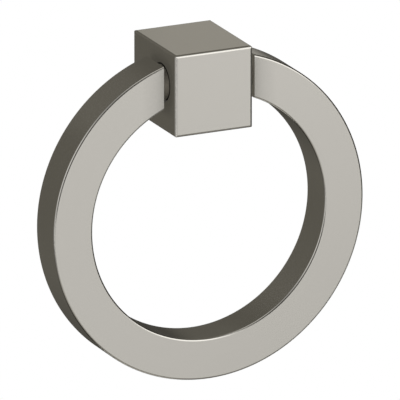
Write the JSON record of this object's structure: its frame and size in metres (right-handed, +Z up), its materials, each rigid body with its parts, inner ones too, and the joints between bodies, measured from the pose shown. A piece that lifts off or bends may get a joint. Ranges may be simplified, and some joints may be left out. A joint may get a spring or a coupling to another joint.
{
  "type": "ring pull",
  "caption": "Ring pull for a drawer or door: an open flat ring of square section that swings on pins in the sides of a square post, screwed on from behind.",
  "frame": {"origin": "the middle of the post's back face, where it meets the drawer front, at the mouth of the screw hole", "axes": "+Z up with the ring hanging down, +Y into the drawer front, so the pull's front faces -Y, and +X to the right as seen from the front; the ring's pivot runs along X"},
  "size_m": [0.0762, 0.0222, 0.0775],
  "materials": {
    "satin_nickel": "satin nickel, finely brushed",
    "turned_pin": "turned, then satin nickel plated"
  },
  "bodies": {
    "post": {"post": "satin_nickel"},
    "ring": {"ring": "satin_nickel", "left_pivot_pin": "turned_pin", "right_pivot_pin": "turned_pin"}
  },
  "joints": [
    {"name": "ring_swing", "type": "hinge", "parent": "post", "child": "ring", "pos_m": [0, -0.015, 0.0015], "axis": [-1, 0, 0], "range_deg": [-8.5, 188.5]}
  ]
}
